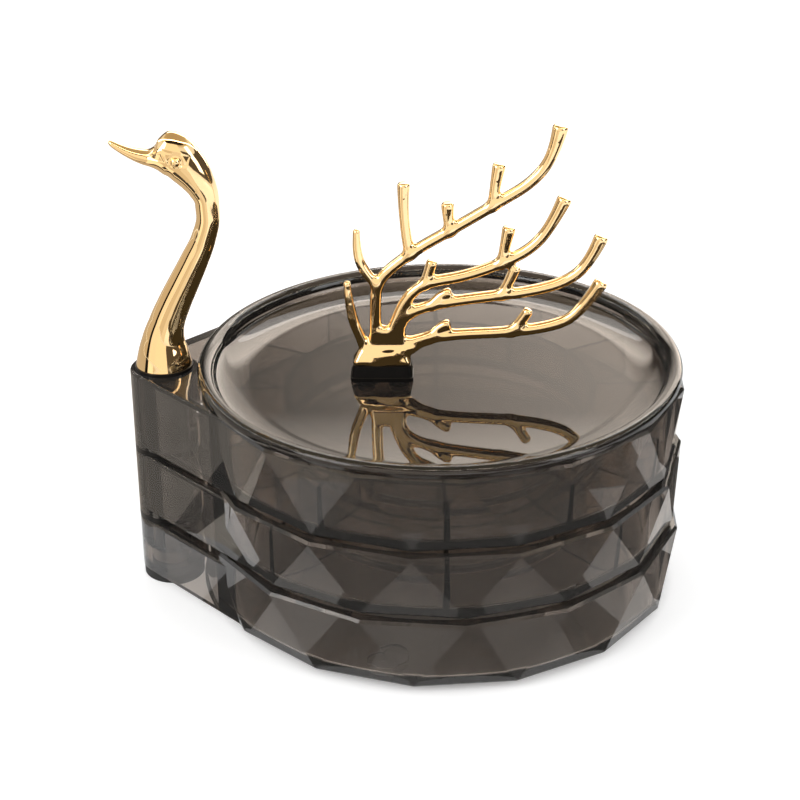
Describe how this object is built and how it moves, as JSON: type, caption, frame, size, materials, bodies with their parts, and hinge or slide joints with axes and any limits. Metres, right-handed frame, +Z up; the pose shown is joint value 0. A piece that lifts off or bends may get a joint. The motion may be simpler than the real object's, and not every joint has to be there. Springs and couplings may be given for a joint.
{
  "type": "tiered jewelry box",
  "caption": "Stack of faceted translucent trays that swivel on one bolt under a bird-neck finial, with a lift-off lid dish that carries a branching rack.",
  "frame": {"origin": "on the table, at the centre of the foot under the pivot bolt", "axes": "+Z up along the pivot bolt, +X from the bolt to the middle of the stacked trays, +Y to the back as the picture shows it"},
  "size_m": [0.172, 0.1492, 0.1494],
  "materials": {
    "smoke_plastic": "polished, translucent smoke",
    "black_plastic": "satin",
    "rubber": "matte",
    "clear_rubber": "soft gloss, clear",
    "gold_plate": "polished gold plating",
    "brass": "turned",
    "steel": "zinc plated",
    "eye": "glossy"
  },
  "bodies": {
    "base": {"bottom_tray": "smoke_plastic", "tray_foot_right": "clear_rubber", "tray_foot_back": "clear_rubber", "tray_foot_front": "clear_rubber", "lug_foot": "rubber", "pivot_bolt": "steel", "bolt_washer": "steel", "lower_spacer": "black_plastic", "neck_seat": "black_plastic", "neck_insert": "brass", "swan_neck": "gold_plate", "swan_eye_front": "eye", "swan_eye_back": "eye"},
    "middle": {"middle_tray": "smoke_plastic", "middle_bush": "black_plastic", "upper_spacer": "black_plastic"},
    "top": {"top_tray": "smoke_plastic", "top_bush": "black_plastic"},
    "lid": {"lid_dish": "smoke_plastic", "rack_socket": "black_plastic", "branch_rack": "gold_plate", "rack_screw_left": "steel", "rack_screw_right": "steel"}
  },
  "joints": [
    {"name": "middle_swivel", "type": "hinge", "parent": "base", "child": "middle", "pos_m": [0, 0, 0.025], "axis": [0, 0, 1], "continuous": true},
    {"name": "top_swivel", "type": "hinge", "parent": "base", "child": "top", "pos_m": [0, 0, 0.047], "axis": [0, 0, 1], "continuous": true},
    {"name": "lid_lift", "type": "slide", "parent": "top", "child": "lid", "axis": [0, 0, 1], "range_m": [0, 0.018]}
  ]
}
